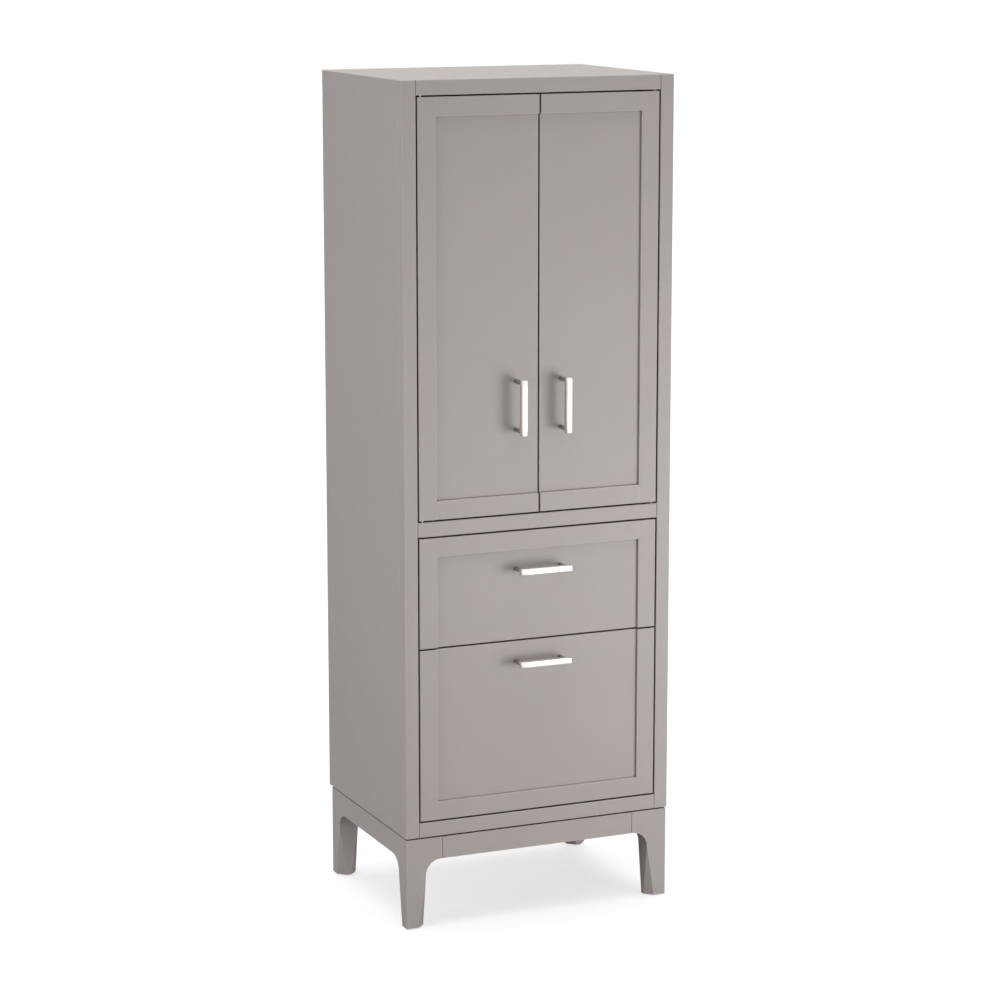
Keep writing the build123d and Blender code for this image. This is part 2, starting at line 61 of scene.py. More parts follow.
# ------------------------------------------------------------------ finishes, in linear colour
PAINT = (0.365, 0.330, 0.314, 1)
# Paint edge colour: a painted highlight, paler than the paint, for light caught on eased edges.
PAINT_HIGHLIGHT = (0.62, 0.58, 0.56, 1)
# Near black: painted shade for the paint's joints, gaps and inner corners.
PAINT_SHADE = (0.010, 0.008, 0.007, 1)
BIRCH_PALE = (0.70, 0.52, 0.33, 1)
BIRCH_DEEP = (0.46, 0.29, 0.15, 1)
BIRCH_CORE = (0.30, 0.17, 0.08, 1)
NICKEL = (0.74, 0.71, 0.67, 1)
NICKEL_DEEP = (0.52, 0.49, 0.46, 1)
# Post nickel darkened as painted shade and painted reflection: the bar's shadow and the dark surroundings
# the posts reflect.
POST_NICKEL_SHADED = (0.40, 0.37, 0.35, 1)
POST_NICKEL_SHADED_DEEP = (0.20, 0.18, 0.17, 1)
ZINC = (0.66, 0.68, 0.70, 1)
ZINC_DEEP = (0.42, 0.44, 0.46, 1)
STEEL = (0.60, 0.60, 0.59, 1)
STEEL_DEEP = (0.36, 0.36, 0.36, 1)
CATCH_PLASTIC = (0.62, 0.60, 0.57, 1)
GLIDE_PLASTIC = (0.025, 0.024, 0.023, 1)
FLOOR = (0.30, 0.30, 0.305, 1)
FLOOR_PALE = (0.32, 0.32, 0.325, 1)
FLOOR_LIFT = 0.67
SURROUND_LIGHT = 0.30
SURROUND_GLOSS = 0.80

# How far each finish's edge wear and painted edge highlight, painted crevice shade and relief reach, in
# metres.
PAINT_HIGHLIGHT_EDGE, PAINT_SHADE_REACH, PAINT_PEEL = 0.0024, 0.0065, 0.00003
BIRCH_SHADE_REACH, BIRCH_PORE = 0.006, 0.00008
METAL_RUB, METAL_SHADE_REACH = 0.0006, 0.002
PLASTIC_RUB, PLASTIC_GRIT = 0.0008, 0.00004
FINE_LINES, COARSE_LINES = 0.00001, 0.00002


# ------------------------------------------------------------------ shader trees
class Graph:
    """Adds shader nodes to one tree and joins them."""

    def __init__(self, tree):
        self.tree = tree

    def feed(self, socket, value):
        if isinstance(value, bpy.types.NodeSocket):
            self.tree.links.new(value, socket)
        else:
            socket.default_value = value

    def node(self, kind, inputs=None, **settings):
        made = self.tree.nodes.new("ShaderNode" + kind)
        for name, value in settings.items():
            setattr(made, name, value)
        for name, value in (inputs or {}).items():
            self.feed(made.inputs[name], value)
        return made

    def sum(self, operation, *values, clamp=False):
        made = self.node("Math", operation=operation, use_clamp=clamp)
        for socket, value in zip(made.inputs, values):
            self.feed(socket, value)
        return made.outputs[0]

    def vector(self, operation, *values):
        made = self.node("VectorMath", operation=operation)
        for socket, value in zip(made.inputs, values):
            self.feed(socket, value)
        return made

    def mix(self, factor, first, second, blend="MIX"):
        made = self.node("Mix", data_type="RGBA", blend_type=blend)
        named = {socket.identifier: socket for socket in made.inputs}
        self.feed(named["Factor_Float"], factor)
        self.feed(named["A_Color"], first)
        self.feed(named["B_Color"], second)
        return next(out for out in made.outputs if out.identifier == "Result_Color")

    def noise(self, place, scale, detail=2.0, rough=0.5, twist=0.0):
        inputs = {"Vector": place, "Scale": scale, "Detail": detail}
        inputs.update({"Roughness": rough, "Distortion": twist})
        return self.node("TexNoise", inputs).outputs["Fac"]

    def stretch(self, place, factors):
        return self.vector("MULTIPLY", place, factors).outputs["Vector"]

    def span(self, value, low, high, to_low=0.0, to_high=1.0):
        inputs = {"Value": value, "From Min": low, "From Max": high}
        inputs.update({"To Min": to_low, "To Max": to_high})
        return self.node("MapRange", inputs, clamp=True).outputs["Result"]

    def place(self):
        return self.node("TexCoord").outputs["Object"]

    def use(self, group, inputs=None):
        made = self.tree.nodes.new("ShaderNodeGroup")
        made.node_tree = group
        for name, value in (inputs or {}).items():
            self.feed(made.inputs[name], value)
        return made.outputs


def new_group(name, inputs, outputs):
    """Empty node group with named sockets, its graph, and its two ends."""
    tree = bpy.data.node_groups.new(name, "ShaderNodeTree")
    for label, value in inputs.items():
        kind = "NodeSocketFloat"
        if isinstance(value, tuple):
            kind = "NodeSocketColor" if len(value) == 4 else "NodeSocketVector"
        socket = tree.interface.new_socket(label, in_out="INPUT", socket_type=kind)
        socket.default_value = value
    for label, kind in outputs.items():
        tree.interface.new_socket(label, in_out="OUTPUT", socket_type="NodeSocket" + kind)
    start = tree.nodes.new("NodeGroupInput")
    end = tree.nodes.new("NodeGroupOutput")
    return tree, Graph(tree), start.outputs, end.inputs


def make_edge_wear_and_highlight():
    """Mask that is 1 on outer edges, broken up in patches: worn edges on metal and plastic, a painted
    highlight on the eased edges of paint.
    """
    tree, graph, given, made = new_group(
        "edge_wear_and_highlight",
        {"Radius": 0.0015, "Breakup": 0.5},
        {"Mask": "Float"},
    )
    rounded = graph.node("Bevel", {"Radius": given["Radius"]}, samples=4)
    flat = graph.node("NewGeometry").outputs["Normal"]
    facing = graph.vector("DOT_PRODUCT", rounded.outputs["Normal"], flat).outputs["Value"]
    edge = graph.span(facing, 0.70, 0.995, 1.0, 0.0)
    patches = graph.span(graph.noise(graph.place(), 38.0, 3.0), 0.35, 0.65)
    kept = graph.sum("MULTIPLY_ADD", patches, given["Breakup"], 1.0)
    kept = graph.sum("SUBTRACT", kept, given["Breakup"])
    graph.feed(made["Mask"], graph.sum("MULTIPLY", edge, kept, clamp=True))
    return tree


def make_painted_crevice_shade():
    """Painted shade: mask that is 1 deep in joints, gaps and inner corners, from ambient occlusion."""
    tree, graph, given, made = new_group(
        "painted_crevice_shade",
        {"Reach": 0.006, "Strength": 1.0},
        {"Mask": "Float"},
    )
    open_sky = graph.node("AmbientOcclusion", {"Distance": given["Reach"]}, samples=4)
    crevice_shade = graph.span(open_sky.outputs["AO"], 0.15, 0.62, 1.0, 0.0)
    graph.feed(made["Mask"], graph.sum("MULTIPLY", crevice_shade, given["Strength"], clamp=True))
    return tree


def make_paint_film():
    """Sprayed satin paint: slow drift in tone, faint orange peel and longer waves."""
    tree, graph, given, made = new_group(
        "paint_film",
        {"Colour": PAINT, "Drift": 0.05, "Sheen": 0.42, "Peel": 1.0},
        {"Colour": "Color", "Roughness": "Float", "Height": "Float"},
    )
    place = graph.place()
    broad = graph.noise(place, 2.6, 3.0, 0.6)
    patch = graph.noise(place, 23.0, 3.0, 0.6)
    tone = graph.sum("MULTIPLY_ADD", broad, 0.7, graph.sum("MULTIPLY", patch, 0.3))
    tone = graph.sum("MULTIPLY", graph.sum("SUBTRACT", tone, 0.5), given["Drift"])
    tone = graph.sum("MULTIPLY_ADD", tone, 2.0, 1.0)
    grey = graph.node("CombineColor", {"Red": tone, "Green": tone, "Blue": tone})
    colour = graph.mix(1.0, given["Colour"], grey.outputs["Color"], "MULTIPLY")
    graph.feed(made["Colour"], colour)
    fine = graph.noise(place, 780.0, 2.0)
    smear = graph.noise(place, 60.0, 2.0)
    sheen = graph.sum("MULTIPLY_ADD", smear, 0.10, given["Sheen"])
    sheen = graph.sum("MULTIPLY_ADD", fine, 0.05, sheen)
    graph.feed(made["Roughness"], sheen)
    peel = graph.noise(place, 420.0, 2.0)
    wave = graph.noise(place, 34.0, 1.0)
    height = graph.sum("MULTIPLY_ADD", wave, 2.0, peel)
    graph.feed(made["Height"], graph.sum("MULTIPLY", height, given["Peel"]))
    return tree


def make_birch_grain():
    """Pale birch veneer; the grain runs along the stretched axis of the place given."""
    tree, graph, given, made = new_group(
        "birch_grain",
        {"Place": (0.0, 0.0, 0.0), "Pale": BIRCH_PALE, "Deep": BIRCH_DEEP},
        {"Colour": "Color", "Roughness": "Float", "Height": "Float"},
    )
    figure = graph.noise(given["Place"], 9.0, 4.0, 0.6, 0.6)
    lines = graph.noise(given["Place"], 120.0, 3.0, 0.7)
    fleck = graph.span(graph.noise(given["Place"], 420.0, 2.0), 0.62, 0.74)
    share = graph.span(figure, 0.32, 0.70, 0.0, 0.55)
    share = graph.sum("MULTIPLY_ADD", lines, 0.35, share)
    share = graph.sum("MULTIPLY_ADD", fleck, 0.20, share, clamp=True)
    graph.feed(made["Colour"], graph.mix(share, given["Pale"], given["Deep"]))
    graph.feed(made["Roughness"], graph.sum("MULTIPLY_ADD", lines, 0.18, 0.36))
    pores = graph.sum("MULTIPLY_ADD", fleck, -0.8, lines)
    graph.feed(made["Height"], pores)
    return tree


def make_ply_edge():
    """Glued layers of a plywood edge, counted across the board's thickness."""
    tree, graph, given, made = new_group(
        "ply_edge",
        {"Across": 0.0, "Layer": 0.0015},
        {"Mask": "Float", "Line": "Float"},
    )
    count = graph.sum("DIVIDE", given["Across"], given["Layer"])
    wobble = graph.noise(graph.place(), 30.0, 2.0)
    count = graph.sum("MULTIPLY_ADD", wobble, 0.25, count)
    turn = graph.sum("PINGPONG", count, 1.0)
    graph.feed(made["Mask"], graph.span(turn, 0.42, 0.58))
    line = graph.sum("ABSOLUTE", graph.sum("SUBTRACT", turn, 0.5))
    graph.feed(made["Line"], graph.span(line, 0.02, 0.09, 1.0, 0.0))
    return tree


def make_metal_lines():
    """Fine lines left by drawing, rolling or brushing, and cloudy plating over them."""
    tree, graph, given, made = new_group(
        "metal_lines",
        {"Place": (0.0, 0.0, 0.0), "Bright": STEEL, "Deep": STEEL_DEEP, "Sheen": 0.3, "Cloud": 0.4},
        {"Colour": "Color", "Roughness": "Float", "Height": "Float"},
    )
    lines = graph.noise(given["Place"], 900.0, 3.0, 0.7)
    cloud = graph.noise(graph.place(), 55.0, 4.0, 0.6)
    share = graph.sum("MULTIPLY", graph.span(cloud, 0.35, 0.68), given["Cloud"])
    share = graph.sum("MULTIPLY_ADD", lines, 0.22, share, clamp=True)
    graph.feed(made["Colour"], graph.mix(share, given["Bright"], given["Deep"]))
    sheen = graph.sum("MULTIPLY_ADD", lines, 0.16, given["Sheen"])
    sheen = graph.sum("MULTIPLY_ADD", cloud, 0.08, sheen)
    graph.feed(made["Roughness"], sheen)
    graph.feed(made["Height"], lines)
    return tree


def make_moulded_skin():
    """Spark-eroded texture of a moulded plastic face."""
    tree, graph, given, made = new_group(
        "moulded_skin",
        {"Colour": CATCH_PLASTIC, "Sheen": 0.5},
        {"Colour": "Color", "Roughness": "Float", "Height": "Float"},
    )
    place = graph.place()
    grit = graph.noise(place, 1500.0, 2.0)
    flow = graph.noise(place, 90.0, 2.0, 0.5, 0.8)
    tone = graph.span(flow, 0.3, 0.7, 0.90, 1.08)
    grey = graph.node("CombineColor", {"Red": tone, "Green": tone, "Blue": tone})
    graph.feed(made["Colour"], graph.mix(1.0, given["Colour"], grey.outputs["Color"], "MULTIPLY"))
    graph.feed(made["Roughness"], graph.sum("MULTIPLY_ADD", grit, 0.12, given["Sheen"]))
    graph.feed(made["Height"], grit)
    return tree


edge_wear_and_highlight = make_edge_wear_and_highlight()
painted_crevice_shade = make_painted_crevice_shade()
paint_film = make_paint_film()
birch_grain = make_birch_grain()
ply_edge = make_ply_edge()
metal_lines = make_metal_lines()
moulded_skin = make_moulded_skin()


# ------------------------------------------------------------------ materials
def new_material(name):
    """Material with only its Principled shader, and the graph to feed it."""
    material = bpy.data.materials.new(name)
    material.use_nodes = True
    shader = material.node_tree.nodes["Principled BSDF"]
    return material, Graph(material.node_tree), shader.inputs


def relief(graph, height, depth):
    """Normal for a height field whose full range is the given depth in metres."""
    inputs = {"Strength": 1.0, "Distance": depth, "Height": height}
    return graph.node("Bump", inputs).outputs["Normal"]


def painted(name, colour, drift, sheen, highlight_strength, shade_strength):
    """Painted wood with a painted highlight along its eased edges and painted shade in its joints, gaps and
    inner corners.
    """
    material, graph, shader = new_material(name)
    given = {"Colour": colour, "Drift": drift, "Sheen": sheen, "Peel": 1.0}
    film = graph.use(paint_film, given)
    wear_and_highlight = graph.use(edge_wear_and_highlight, {"Radius": PAINT_HIGHLIGHT_EDGE, "Breakup": 0.30})["Mask"]
    crevice_shade = graph.use(painted_crevice_shade, {"Reach": PAINT_SHADE_REACH, "Strength": shade_strength})["Mask"]
    # Painted highlight: eased edges mixed towards a paler paint, broken up in patches.
    tone = graph.mix(graph.sum("MULTIPLY", wear_and_highlight, highlight_strength), film["Colour"], PAINT_HIGHLIGHT)
    # Painted shade: joints, gaps and inner corners mixed towards near black by ambient occlusion.
    tone = graph.mix(crevice_shade, tone, PAINT_SHADE)
    graph.feed(shader["Base Color"], tone)
    sheen = graph.sum("MULTIPLY_ADD", wear_and_highlight, -0.06, film["Roughness"])
    graph.feed(shader["Roughness"], graph.sum("MULTIPLY_ADD", crevice_shade, 0.20, sheen, clamp=True))
    graph.feed(shader["Normal"], relief(graph, film["Height"], PAINT_PEEL))
    return material


def birch(name, grain_axis, edge_axis):
    """Lacquered birch ply with its grain along one axis and its layers across another."""
    material, graph, shader = new_material(name)
    place = graph.place()
    factors = [1.0, 1.0, 1.0]
    factors[grain_axis] = 0.06
    wood = graph.use(birch_grain, {"Place": graph.stretch(place, tuple(factors))})
    split = graph.node("SeparateXYZ", {"Vector": place})
    layers = graph.use(ply_edge, {"Across": split.outputs[edge_axis]})
    facing = graph.node("SeparateXYZ", {"Vector": graph.node("NewGeometry").outputs["Normal"]})
    broad = graph.sum("ABSOLUTE", facing.outputs[edge_axis])
    on_edge = graph.span(broad, 0.3, 0.6, 1.0, 0.0)
    tone = graph.mix(graph.sum("MULTIPLY", layers["Mask"], 0.45), wood["Colour"], BIRCH_DEEP)
    tone = graph.mix(graph.sum("MULTIPLY", layers["Line"], 0.5), tone, BIRCH_CORE)
    tone = graph.mix(on_edge, wood["Colour"], tone)
    # Painted shade: joints and inner corners mixed towards the dark ply core colour.
    crevice_shade = graph.use(painted_crevice_shade, {"Reach": BIRCH_SHADE_REACH, "Strength": 0.5})["Mask"]
    graph.feed(shader["Base Color"], graph.mix(crevice_shade, tone, BIRCH_CORE))
    graph.feed(shader["Roughness"], wood["Roughness"])
    groove = graph.sum("MULTIPLY", layers["Line"], graph.sum("MULTIPLY", on_edge, -1.5))
    height = graph.sum("ADD", wood["Height"], groove)
    graph.feed(shader["Normal"], relief(graph, height, BIRCH_PORE))
    return material


def metal(name, bright, deep, factors, sheen, cloud, depth):
    """Plated metal with fine lines along the axis whose factor is small."""
    material, graph, shader = new_material(name)
    lined = graph.stretch(graph.place(), factors)
    given = {"Place": lined, "Bright": bright, "Deep": deep, "Sheen": sheen, "Cloud": cloud}
    skin = graph.use(metal_lines, given)
    wear_and_highlight = graph.use(edge_wear_and_highlight, {"Radius": METAL_RUB, "Breakup": 0.3})["Mask"]
    tone = graph.mix(graph.sum("MULTIPLY", wear_and_highlight, 0.3), skin["Colour"], bright)
    # Painted shade: joints and inner corners mixed towards the deep metal colour.
    crevice_shade = graph.use(painted_crevice_shade, {"Reach": METAL_SHADE_REACH, "Strength": 0.6})["Mask"]
    graph.feed(shader["Base Color"], graph.mix(crevice_shade, tone, deep))
    graph.feed(shader["Roughness"], graph.sum("MULTIPLY_ADD", wear_and_highlight, -0.05, skin["Roughness"]))
    graph.feed(shader["Normal"], relief(graph, skin["Height"], depth))
    shader["Metallic"].default_value = 1.0
    return material


def moulded(name, colour, sheen):
    """Moulded plastic, scuffed on its edges."""
    material, graph, shader = new_material(name)
    skin = graph.use(moulded_skin, {"Colour": colour, "Sheen": sheen})
    wear_and_highlight = graph.use(edge_wear_and_highlight, {"Radius": PLASTIC_RUB, "Breakup": 0.6})["Mask"]
    pale = graph.mix(0.5, skin["Colour"], (0.5, 0.5, 0.5, 1))
    graph.feed(shader["Base Color"], graph.mix(graph.sum("MULTIPLY", wear_and_highlight, 0.4), skin["Colour"], pale))
    graph.feed(shader["Roughness"], skin["Roughness"])
    graph.feed(shader["Normal"], relief(graph, skin["Height"], PLASTIC_GRIT))
    return material


ALONG_X, ALONG_Y, ALONG_Z = (0.02, 1.0, 1.0), (1.0, 0.02, 1.0), (1.0, 1.0, 0.02)

paint_outside = painted("greige_satin_paint", PAINT, 0.05, 0.40, 1.0, 1.0)
paint_inside = painted("greige_inside_paint", PAINT, 0.07, 0.50, 0.35, 0.55)
birch_sides = birch("birch_ply_drawer_walls", 1, 0)
birch_base = birch("birch_ply_drawer_base", 0, 2)
nickel_upright = metal("satin_nickel_upright", NICKEL, NICKEL_DEEP, ALONG_Z, 0.34, 0.15, FINE_LINES)
nickel_level = metal("satin_nickel_level", NICKEL, NICKEL_DEEP, ALONG_X, 0.34, 0.15, FINE_LINES)
# Posts get a darker nickel as painted shade and painted reflection.
shaded_nickel_posts = metal("turned_nickel_posts_painted_shade", POST_NICKEL_SHADED, POST_NICKEL_SHADED_DEEP, ALONG_Y, 0.30, 0.3, FINE_LINES)
zinc_steel = metal("zinc_plated_steel", ZINC, ZINC_DEEP, ALONG_Y, 0.30, 0.32, COARSE_LINES)
plated_steel = metal("nickel_plated_steel", STEEL, STEEL_DEEP, ALONG_X, 0.22, 0.3, FINE_LINES)
catch_plastic = moulded("catch_pale_plastic", CATCH_PLASTIC, 0.45)
glide_plastic = moulded("glide_black_plastic", GLIDE_PLASTIC, 0.5)

# ------------------------------------------------------------------ dressing the carried-over CAD
INSIDE_NODES = ("shelf_lower", "shelf_upper", "middle_deck", "bottom_panel", "hanging_rail", "back_panel")
# How far each kind of edge is softened, in metres.
BOARD_SOFT = 0.0006
PLY_SOFT = 0.0005
FRONT_SOFT = 0.0004
METAL_SOFT = 0.0002
CATCH_SOFT = 0.0005
GLIDE_SOFT = 0.0004
WELD_REACH = 0.00002
FLAT_WITHIN = math.radians(0.6)
SHARP_BEYOND = math.radians(30)


def finish_of(name):
    """Material and edge softening for one CAD node."""
    if name.startswith("drawer") and name.endswith("_walls"):
        return birch_sides, BOARD_SOFT
    if name.endswith("_base") or name == "slide_cleats":
        return birch_base, PLY_SOFT
    if name.endswith("_pull"):
        return (nickel_level if name.startswith("drawer") else nickel_upright), 0.0
    if name.startswith("slide") or name.endswith("_runners"):
        return zinc_steel, METAL_SOFT
    if name.endswith(("_leaves", "_fittings", "_screws")) or name in ("shelf_pins", "hinge_plates"):
        return plated_steel, METAL_SOFT
    if name == "magnetic_catches":
        return catch_plastic, CATCH_SOFT
    if name == "leg_glides":
        return glide_plastic, GLIDE_SOFT
    if name in INSIDE_NODES:
        return paint_inside, BOARD_SOFT
    if name.startswith(("door", "drawer")):
        return paint_outside, FRONT_SOFT
    return paint_outside, BOARD_SOFT


def soften(piece, width):
    """Rounds the sharp edges a little without touching the mesh itself."""
    weld = piece.modifiers.new("joined_corners", "WELD")
    weld.merge_threshold = WELD_REACH
    whole = piece.modifiers.new("whole_faces", "DECIMATE")
    whole.decimate_type = "DISSOLVE"
    whole.angle_limit = FLAT_WITHIN
    if width:
        bevel = piece.modifiers.new("softened_edges", "BEVEL")
        bevel.width = width
        bevel.segments = 2
        bevel.limit_method = "ANGLE"
        bevel.angle_limit = SHARP_BEYOND
        bevel.use_clamp_overlap = True
        bevel.harden_normals = False
    shade = piece.modifiers.new("even_shading", "WEIGHTED_NORMAL")
    shade.weight = 100
    shade.keep_sharp = False


for name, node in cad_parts.items():
    material, width = finish_of(name)
    for slot in node.material_slots:
        slot.material = material
    soften(node, width)

# ------------------------------------------------------------------ pulls and their screws
BAR_DEPTH = 0.012
BAR_EASE = 0.0018
BAR_CROWN = 0.0006
CROWN_SHARES = (-0.6, -0.2, 0.2, 0.6)
CORNER_STEPS = 4
# Shares of the ease: where the end's corner turns, and how far its last ring is drawn in.
END_TURN = 0.3
END_DRAW = 0.9
SEAM_INSET = 0.016
SEAM_WIDTH = 0.0009
SEAM_SINK = 0.0005
SEAM_FLOOR = 0.6
POST_INSET = 0.008
# Along a post from the back of the bar: distance, radius.
POST_PROFILE = (
    (0.0, 0.0051), (0.0004, 0.0055), (0.0021, 0.0055), (0.0025, 0.0051), (0.0030, 0.0040),
    (0.0042, 0.0036), (0.0056, 0.0040), (0.0064, 0.0045), (0.0330, 0.0045),
)
TURNED_STEPS = 32
SCREW_THICK = 0.002
# Up a screw head from the wood: height, radius.
SCREW_PROFILE = (
    (0.0, 0.0042), (0.0004, 0.0045), (0.0008, 0.0044), (0.0013, 0.0040), (0.0017, 0.0033), (0.0019, 0.0026),
)
CROSS_ARM = 0.0019
CROSS_HALF = 0.00042
CROSS_DEEP = 0.0012
CROSS_TAPER = 0.72
STRIKE_THICK = 0.0012
STRIKE_EDGE = 0.0003
STRIKE_WIDTH = 0.016
STRIKE_HEIGHT = 0.012
STRIKE_SCREW_SINK = 0.0015
SLIDE_WALL = 0.0012
RUNNER_SCREW_SHARES = (0.08, 0.42, 0.90)
RUNNER_SCREW_PROFILE = ((0.0, 0.0038), (0.0004, 0.0040), (0.0010, 0.0036), (0.0013, 0.0025))
STRIKE_SCREW_PROFILE = ((0.0, 0.0020), (0.0014, 0.0031), (0.0017, 0.0032), (0.0019, 0.0027))
STRIKE_CORNER = 0.0022
SHARP_TURN = math.radians(32)


def skin(builder, rings, first=True, last=True):
    """Faces between rings with the same number of points, closed at the ends asked for."""
    made = [[builder.verts.new(point) for point in ring] for ring in rings]
    for near, far in zip(made, made[1:]):
        for step in range(len(near)):
            after = (step + 1) % len(near)
            builder.faces.new((near[step], near[after], far[after], far[step]))
    if first:
        builder.faces.new(list(reversed(made[0])))
    if last:
        builder.faces.new(made[-1])
    return made


def add_object(name, data):
    """New object in the scene from its data."""
    made = bpy.data.objects.new(name, data)
    bpy.context.scene.collection.objects.link(made)
    return made


def piece_from(name, builder, material, body, replaced):
    """Object from a mesh being built, smooth but for its sharp edges, on its body."""
    bmesh.ops.recalc_face_normals(builder, faces=builder.faces[:])
    mesh = bpy.data.meshes.new(name)
    builder.to_mesh(mesh)
    builder.free()
    for face in mesh.polygons:
        face.use_smooth = True
    mesh.set_sharp_from_angle(angle=SHARP_TURN)
    mesh.materials.append(material)
    piece = add_object(name, mesh)
    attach(piece, body)
    if replaced:
        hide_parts(*replaced)


def rounded_outline(half_across, half_deep, ease, crown=0.0):
    """Rectangle with round corners, once round; its lower side swells by the crown."""
    outline = []
    for turn in range(4):
        first_angle = math.radians(90 * turn - 180)
        middle_angle = first_angle + math.radians(45)
        across = math.copysign(half_across - ease, math.cos(middle_angle))
        deep = math.copysign(half_deep - ease, math.sin(middle_angle))
        for step in range(CORNER_STEPS + 1):
            angle = first_angle + math.radians(90 / CORNER_STEPS * step)
            outline.append((across + ease * math.cos(angle), deep + ease * math.sin(angle)))
        if turn == 0:
            outline += [(share * (half_across - ease), -half_deep) for share in CROWN_SHARES]
    swell = []
    for across, deep in outline:
        off_middle = min(abs(across) / half_across, 1.0)
        sink = crown * off_middle**2 if deep < 0 else 0.0
        swell.append((across, deep + sink))
    return swell


def bar_stations(length):
    """Along the bar: distance from its middle, and how far its skin is drawn in."""
    end = length / 2
    seam = end - SEAM_INSET
    half = SEAM_WIDTH / 2
    flat = SEAM_FLOOR * half
    turn = END_TURN * BAR_EASE
    side = [(seam - half, 0.0), (seam - flat, SEAM_SINK), (seam + flat, SEAM_SINK)]
    side += [(seam + half, 0.0), (end - BAR_EASE, 0.0), (end - turn, turn)]
    side += [(end, BAR_EASE * END_DRAW)]
    return [(-at, drawn) for at, drawn in reversed(side)] + side


def make_pull(node, body, upright):
    """Crowned bar with a seam near each end, on two turned posts."""
    low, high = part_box(node)
    centre = (low + high) / 2
    length = high.z - low.z if upright else high.x - low.x
    face = high.x - low.x if upright else high.z - low.z
    bar_middle = low.y + BAR_DEPTH / 2

    def placed(along, across, y):
        if upright:
            return Vector((centre.x + across, y, centre.z + along))
        return Vector((centre.x + along, y, centre.z + across))

    builder = bmesh.new()
    rings = []
    for along, drawn in bar_stations(length):
        outline = rounded_outline(face / 2 - drawn, BAR_DEPTH / 2 - drawn, BAR_EASE, BAR_CROWN)
        rings.append([placed(along, across, bar_middle + deep) for across, deep in outline])
    skin(builder, rings)
    nickel = nickel_upright if upright else nickel_level
    piece_from(f"{node}_bar", builder, nickel, body, [node])

    builder = bmesh.new()
    back = low.y + BAR_DEPTH
    for side in (-1, 1):
        along = side * (length / 2 - POST_INSET)
        rings = []
        for distance, radius in POST_PROFILE:
            y = min(back + distance, high.y)
            rings.append([])
            for step in range(TURNED_STEPS):
                angle = math.tau * step / TURNED_STEPS
                rings[-1].append(placed(along + radius * math.cos(angle), radius * math.sin(angle), y))
        skin(builder, rings)
    piece_from(f"{node}_posts", builder, shaded_nickel_posts, body, [node])
    return centre, length


def screw_head(builder, seat, profile=SCREW_PROFILE):
    """Domed head with a cross recess; seat turns across, up and out of the face into a place."""
    rings = []
    for height, radius in profile:
        angles = [math.tau * step / TURNED_STEPS for step in range(TURNED_STEPS)]
        rings.append([seat(radius * math.cos(a), radius * math.sin(a), height) for a in angles])
    rim = skin(builder, rings, last=False)[-1]
    top = profile[-1][0]
    arms = []
    for turn in range(4):
        angle = math.tau * turn / 4
        ahead = Vector((math.cos(angle), math.sin(angle)))
        aside = Vector((-math.sin(angle), math.cos(angle)))
        arms += [ahead * CROSS_ARM - aside * CROSS_HALF, ahead * CROSS_ARM + aside * CROSS_HALF]
        arms += [ahead * CROSS_HALF + aside * CROSS_HALF]
    walls = []
    for share, deep in ((1.0, 0.0), (CROSS_TAPER, CROSS_DEEP)):
        walls.append([seat(share * spot.x, share * spot.y, top - deep) for spot in arms])
    mouth = skin(builder, walls, first=False)[0]
    loops = []
    for ring in (rim, mouth):
        for near, far in zip(ring, ring[1:] + ring[:1]):
            loops.append(builder.edges.get((near, far)))
    bmesh.ops.triangle_fill(builder, edges=loops, use_beauty=True)


def rearward_seat(x, z, face):
    """Seat on a face that looks to the rear."""
    return lambda across, up, out: Vector((x + across, face + out, z + up))


def sideways_seat(y, z, face, side):
    """Seat on a face that looks to the left (-1) or the right (1)."""
    return lambda across, up, out: Vector((face + side * out, y + across, z + up))


def make_pull_screws(node, body, centre, length, upright, name):
    """The two screws that hold a pull, seen from behind the front."""
    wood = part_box(node)[1].y - SCREW_THICK
    builder = bmesh.new()
    for side in (-1, 1):
        along = side * (length / 2 - POST_INSET)
        x, z = (centre.x, centre.z + along) if upright else (centre.x + along, centre.z)
        screw_head(builder, rearward_seat(x, z, wood))
    piece_from(name, builder, plated_steel, body, [node])


def make_strike(side, body):
    """Steel strike plate for the catch, held by one countersunk screw."""
    node = f"door_{side}_fittings"
    low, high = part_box(node)
    wood = high.y - SCREW_THICK
    top = high.z
    edge = low.x if side == "right" else high.x
    inward = 1 if side == "right" else -1
    half_across, half_high = STRIKE_WIDTH / 2, STRIKE_HEIGHT / 2
    x, z = edge + inward * half_across, top - half_high
    builder = bmesh.new()
    rings = []
    for rise, drawn in ((0.0, 0.0), (STRIKE_THICK - STRIKE_EDGE, 0.0), (STRIKE_THICK, STRIKE_EDGE)):
        outline = rounded_outline(half_across - drawn, half_high - drawn, STRIKE_CORNER)
        rings.append([(x + across, wood + rise, z + up) for across, up in outline])
    skin(builder, rings)
    seat = rearward_seat(x, z, wood + STRIKE_THICK - STRIKE_SCREW_SINK)
    screw_head(builder, seat, STRIKE_SCREW_PROFILE)
    piece_from(f"door_{side}_strike_plate", builder, plated_steel, body, [node])


def make_runner_screws(which):
    """Low screws that hold the slide runners to the drawer box, three on each side."""
    low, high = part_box(f"drawer_{which}_runners")
    box_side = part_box(f"drawer_{which}_walls")[1].x
    level = (low.z + high.z) / 2
    builder = bmesh.new()
    for side in (-1, 1):
        face = side * (box_side + SLIDE_WALL)
        for share in RUNNER_SCREW_SHARES:
            y = low.y + share * (high.y - low.y)
            screw_head(builder, sideways_seat(y, level, face, side), RUNNER_SCREW_PROFILE)
    body = f"drawer_{which}"
    piece_from(f"{body}_runner_screws", builder, plated_steel, body, [])


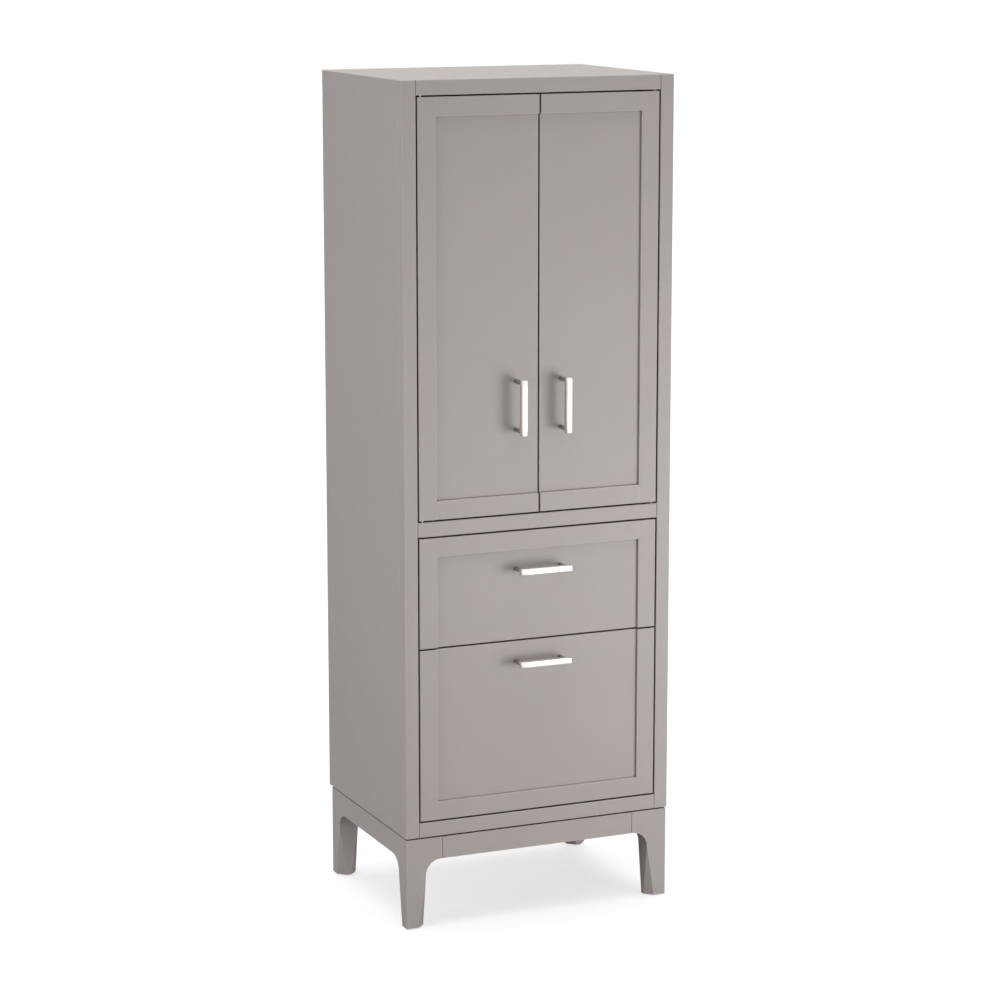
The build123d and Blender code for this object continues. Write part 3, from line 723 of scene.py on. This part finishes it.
for side in ("left", "right"):
    body = f"door_{side}"
    centre, length = make_pull(f"{body}_pull", body, True)
    make_pull_screws(f"{body}_fittings", body, centre, length, True, f"{body}_pull_screws")
    make_strike(side, body)
for which in ("upper", "lower"):
    body = f"drawer_{which}"
    centre, length = make_pull(f"{body}_pull", body, False)
    make_pull_screws(f"{body}_screws", body, centre, length, False, f"{body}_pull_screws")
    make_runner_screws(which)

# ------------------------------------------------------------------ floor, light and camera
lowest, highest = cad_box
middle = (lowest + highest) / 2
FLOOR_HALF = 30.0
FLOOR_CLEARANCE = 0.0002


def direction(azimuth, elevation):
    """Unit vector towards a place seen from the cabinet; both angles are in degrees."""
    turn, lift = math.radians(azimuth), math.radians(elevation)
    level = math.cos(lift)
    return Vector((math.sin(turn) * level, -math.cos(turn) * level, math.sin(lift)))


def aim(thing, away):
    """Turns a lamp or a camera to look along the opposite of a direction."""
    thing.rotation_euler = (-away).to_track_quat("-Z", "Y").to_euler()


def make_floor():
    """Wide pale floor, lifted towards white for the camera only."""
    half = FLOOR_HALF
    mesh = bpy.data.meshes.new("studio_floor")
    corners = [(-half, -half, 0), (half, -half, 0), (half, half, 0), (-half, half, 0)]
    mesh.from_pydata(corners, [], [(0, 1, 2, 3)])
    floor = add_object("studio_floor", mesh)
    floor.location.z = lowest.z - FLOOR_CLEARANCE
    material, graph, shader = new_material("pale_studio_floor")
    cloud = graph.noise(graph.place(), 1.5, 3.0)
    pale = graph.mix(cloud, FLOOR, FLOOR_PALE)
    graph.feed(shader["Base Color"], pale)
    graph.feed(shader["Roughness"], graph.span(cloud, 0.2, 0.8, 0.55, 0.65))
    seen = graph.node("LightPath").outputs["Is Camera Ray"]
    shader["Emission Color"].default_value = (1, 1, 1, 1)
    graph.feed(shader["Emission Strength"], graph.sum("MULTIPLY", seen, FLOOR_LIFT))
    mesh.materials.append(material)


def make_world():
    """Even white surround, softer as a light than as a backdrop."""
    world = bpy.data.worlds.new("studio_surround")
    bpy.context.scene.world = world
    world.use_nodes = True
    graph = Graph(world.node_tree)
    backdrop = world.node_tree.nodes["Background"]
    backdrop.inputs["Color"].default_value = (1, 1, 1, 1)
    seen = graph.node("LightPath").outputs
    glossed = graph.span(seen["Is Glossy Ray"], 0.0, 1.0, SURROUND_LIGHT, SURROUND_GLOSS)
    strength = graph.sum("MAXIMUM", glossed, seen["Is Camera Ray"])
    graph.feed(backdrop.inputs["Strength"], strength)


def make_panel_light(name, place, size, power):
    """Square soft light aimed at the middle of the cabinet."""
    light = bpy.data.lights.new(name, "AREA")
    light.shape = "SQUARE"
    light.size = size
    light.energy = power
    lamp = add_object(name, light)
    lamp.location = place
    aim(lamp, place - middle)
    lamp.visible_camera = False


def make_sun(name, azimuth, elevation, angle, strength):
    """Very wide distant light, soft as a lit ceiling; its angles are in degrees."""
    light = bpy.data.lights.new(name, "SUN")
    light.angle = math.radians(angle)
    light.energy = strength
    aim(add_object(name, light), direction(azimuth, elevation))


CAMERA_AZIMUTH = -23.6
CAMERA_ELEVATION = 10.87
CAMERA_DISTANCE = 6.63
CAMERA_LENS = 110.9
CAMERA_SENSOR = 36.0
AIM_DROP = 0.024


def make_camera():
    """Camera a little above the middle of the cabinet, turned to show its left side."""
    lens = bpy.data.cameras.new("studio_camera")
    lens.lens = CAMERA_LENS
    lens.sensor_width = CAMERA_SENSOR
    camera = add_object("studio_camera", lens)
    away = direction(CAMERA_AZIMUTH, CAMERA_ELEVATION)
    camera.location = middle - Vector((0, 0, AIM_DROP)) + away * CAMERA_DISTANCE
    aim(camera, away)
    bpy.context.scene.camera = camera


make_floor()
make_world()
make_sun("high_wash", -150.0, 82.0, 50.0, 1.7)
make_sun("high_front_wash", 60.0, 84.0, 50.0, 1.3)
make_panel_light("right_level_panel", Vector((2.6, -4.3, 0.85)), 1.6, 37.0)
make_panel_light("right_low_panel", Vector((1.1, -2.0, 0.25)), 1.4, 28.0)
make_panel_light("left_front_panel", Vector((-2.5, -0.60, 1.40)), 1.2, 22.0)
make_camera()

scene = bpy.context.scene
scene.view_settings.view_transform = "Standard"
scene.view_settings.look = "None"
